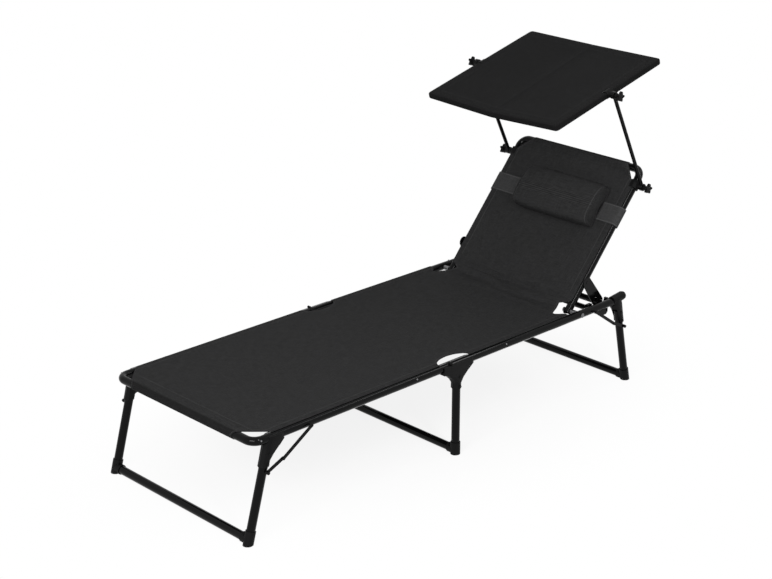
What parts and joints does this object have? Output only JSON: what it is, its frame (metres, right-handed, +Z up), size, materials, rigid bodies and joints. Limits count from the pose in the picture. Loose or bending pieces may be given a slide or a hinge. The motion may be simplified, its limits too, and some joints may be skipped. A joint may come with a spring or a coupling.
{
  "type": "sun lounger",
  "caption": "Folding sun lounger with a mesh bed on black tube legs, a ratchet backrest with a strapped head pillow, and a tilting square sunshade on side arms with star knobs.",
  "frame": {"origin": "on the floor below the middle of the whole lounger's length and width", "axes": "+X runs along the bed from the foot end to the head end, +Y across it to the right side of a person who lies on it, +Z up"},
  "size_m": [1.749, 0.652, 1.0343],
  "materials": {
    "frame_paint": "satin black powder coat",
    "black_plastic": "fine-grained black moulding",
    "zinc_steel": "zinc-plated",
    "seat_mesh": "coated open-weave mesh, charcoal",
    "canopy_weave": "plain tight weave, black",
    "pillow_mesh": "coated mesh, near black",
    "strap_web": "elastic webbing, dark grey"
  },
  "bodies": {
    "bed": {"rear_rail_left": "frame_paint", "rear_rail_right": "frame_paint", "middle_bracket_left": "black_plastic", "middle_bracket_right": "black_plastic", "rear_bracket_left": "black_plastic", "rear_bracket_right": "black_plastic", "ratchet_left": "frame_paint", "ratchet_right": "frame_paint", "tie_tube": "frame_paint", "backrest_bolt_left": "zinc_steel", "backrest_bolt_right": "zinc_steel", "seat_cloth_rear": "seat_mesh"},
    "foot_section": {"foot_bow": "frame_paint", "front_rail_left": "frame_paint", "front_rail_right": "frame_paint", "fold_hinge_left": "black_plastic", "fold_hinge_right": "black_plastic", "front_bracket_left": "black_plastic", "front_bracket_right": "black_plastic", "seat_cloth_front": "seat_mesh"},
    "front_legs": {"front_leg": "frame_paint", "front_foot_left": "black_plastic", "front_foot_right": "black_plastic"},
    "middle_legs": {"middle_leg": "frame_paint", "middle_foot_left": "black_plastic", "middle_foot_right": "black_plastic"},
    "rear_legs": {"rear_leg": "frame_paint", "rear_foot_left": "black_plastic", "rear_foot_right": "black_plastic"},
    "front_lower_stays": {"front_stay_lower_left": "frame_paint", "front_stay_lower_right": "frame_paint"},
    "front_upper_stays": {"front_stay_upper_left": "frame_paint", "front_stay_upper_right": "frame_paint"},
    "rear_lower_stays": {"rear_stay_lower_left": "frame_paint", "rear_stay_lower_right": "frame_paint"},
    "rear_upper_stays": {"rear_stay_upper_left": "frame_paint", "rear_stay_upper_right": "frame_paint"},
    "backrest": {"back_tube_left": "frame_paint", "back_tube_right": "frame_paint", "back_bow": "frame_paint", "arm_clamp_left": "black_plastic", "arm_clamp_right": "black_plastic", "back_cloth": "seat_mesh"},
    "prop": {"prop_plate_left": "frame_paint", "prop_plate_right": "frame_paint", "prop_bar": "frame_paint"},
    "canopy_arms": {"canopy_arm_left": "frame_paint", "canopy_arm_right": "frame_paint"},
    "canopy": {"canopy_frame": "frame_paint", "canopy_cover": "canopy_weave", "canopy_clamp_left": "black_plastic", "canopy_clamp_right": "black_plastic"},
    "left_arm_knob": {"arm_knob_left": "black_plastic"},
    "right_arm_knob": {"arm_knob_right": "black_plastic"},
    "left_canopy_knob": {"canopy_knob_left": "black_plastic"},
    "right_canopy_knob": {"canopy_knob_right": "black_plastic"},
    "pillow": {"head_pillow": "pillow_mesh", "pillow_strap": "strap_web"}
  },
  "joints": [
    {"name": "bed_fold", "type": "hinge", "parent": "bed", "child": "foot_section", "pos_m": [-0.0944, 0, 0.3045], "axis": [0, 1, 0], "range_deg": [0, 135]},
    {"name": "front_leg_fold", "type": "hinge", "parent": "foot_section", "child": "front_legs", "pos_m": [-0.7874, 0, 0.252], "axis": [0, -1, 0], "range_deg": [0, 103]},
    {"name": "middle_leg_fold", "type": "hinge", "parent": "bed", "child": "middle_legs", "pos_m": [-0.0594, 0, 0.252], "axis": [0, -1, 0], "range_deg": [0, 90]},
    {"name": "rear_leg_fold", "type": "hinge", "parent": "bed", "child": "rear_legs", "pos_m": [0.6796, 0, 0.252], "axis": [0, 1, 0], "range_deg": [0, 99]},
    {"name": "front_lower_stay_swing", "type": "hinge", "parent": "front_legs", "child": "front_lower_stays", "pos_m": [-0.8013, 0, 0.203], "axis": [0, -1, 0], "range_deg": [-191, 0]},
    {"name": "front_upper_stay_swing", "type": "hinge", "parent": "foot_section", "child": "front_upper_stays", "pos_m": [-0.6434, 0, 0.291], "axis": [0, -1, 0], "range_deg": [0, 28]},
    {"name": "rear_lower_stay_swing", "type": "hinge", "parent": "rear_legs", "child": "rear_lower_stays", "pos_m": [0.69, 0, 0.203], "axis": [0, 1, 0], "range_deg": [-184, 0]},
    {"name": "rear_upper_stay_swing", "type": "hinge", "parent": "bed", "child": "rear_upper_stays", "pos_m": [0.5456, 0, 0.291], "axis": [0, 1, 0], "range_deg": [0, 27]},
    {"name": "backrest_recline", "type": "hinge", "parent": "bed", "child": "backrest", "pos_m": [0.4908, 0, 0.292], "axis": [0, 1, 0], "range_deg": [0, 48.9]},
    {"name": "prop_swing", "type": "hinge", "parent": "backrest", "child": "prop", "pos_m": [0.5598, 0, 0.3711], "axis": [0, -1, 0], "range_deg": [0, 91.5]},
    {"name": "canopy_arm_swing", "type": "hinge", "parent": "backrest", "child": "canopy_arms", "pos_m": [0.7919, 0, 0.6371], "axis": [0, 1, 0], "range_deg": [-30, 20]},
    {"name": "canopy_tilt", "type": "hinge", "parent": "canopy_arms", "child": "canopy", "pos_m": [0.6303, 0, 0.9655], "axis": [0, 1, 0], "range_deg": [-40, 40]},
    {"name": "left_arm_knob_turn", "type": "hinge", "parent": "backrest", "child": "left_arm_knob", "pos_m": [0.7919, -0.3, 0.6371], "axis": [0, 1, 0], "continuous": true},
    {"name": "right_arm_knob_turn", "type": "hinge", "parent": "backrest", "child": "right_arm_knob", "pos_m": [0.7919, 0.3, 0.6371], "axis": [0, 1, 0], "continuous": true},
    {"name": "left_canopy_knob_turn", "type": "hinge", "parent": "canopy", "child": "left_canopy_knob", "pos_m": [0.6303, -0.3, 0.9655], "axis": [0, 1, 0], "continuous": true},
    {"name": "right_canopy_knob_turn", "type": "hinge", "parent": "canopy", "child": "right_canopy_knob", "pos_m": [0.6303, 0.3, 0.9655], "axis": [0, 1, 0], "continuous": true},
    {"name": "pillow_slide", "type": "slide", "parent": "backrest", "child": "pillow", "axis": [0.6574, 0, 0.7536], "range_m": [-0.08, 0.06]}
  ],
  "couplings": [
    {"joint": "front_lower_stay_swing", "follows": "front_leg_fold", "ratio": -1.85},
    {"joint": "front_upper_stay_swing", "follows": "front_leg_fold", "ratio": 0.27},
    {"joint": "rear_lower_stay_swing", "follows": "rear_leg_fold", "ratio": -1.85},
    {"joint": "rear_upper_stay_swing", "follows": "rear_leg_fold", "ratio": 0.27},
    {"joint": "prop_swing", "follows": "backrest_recline", "ratio": 1.87}
  ]
}
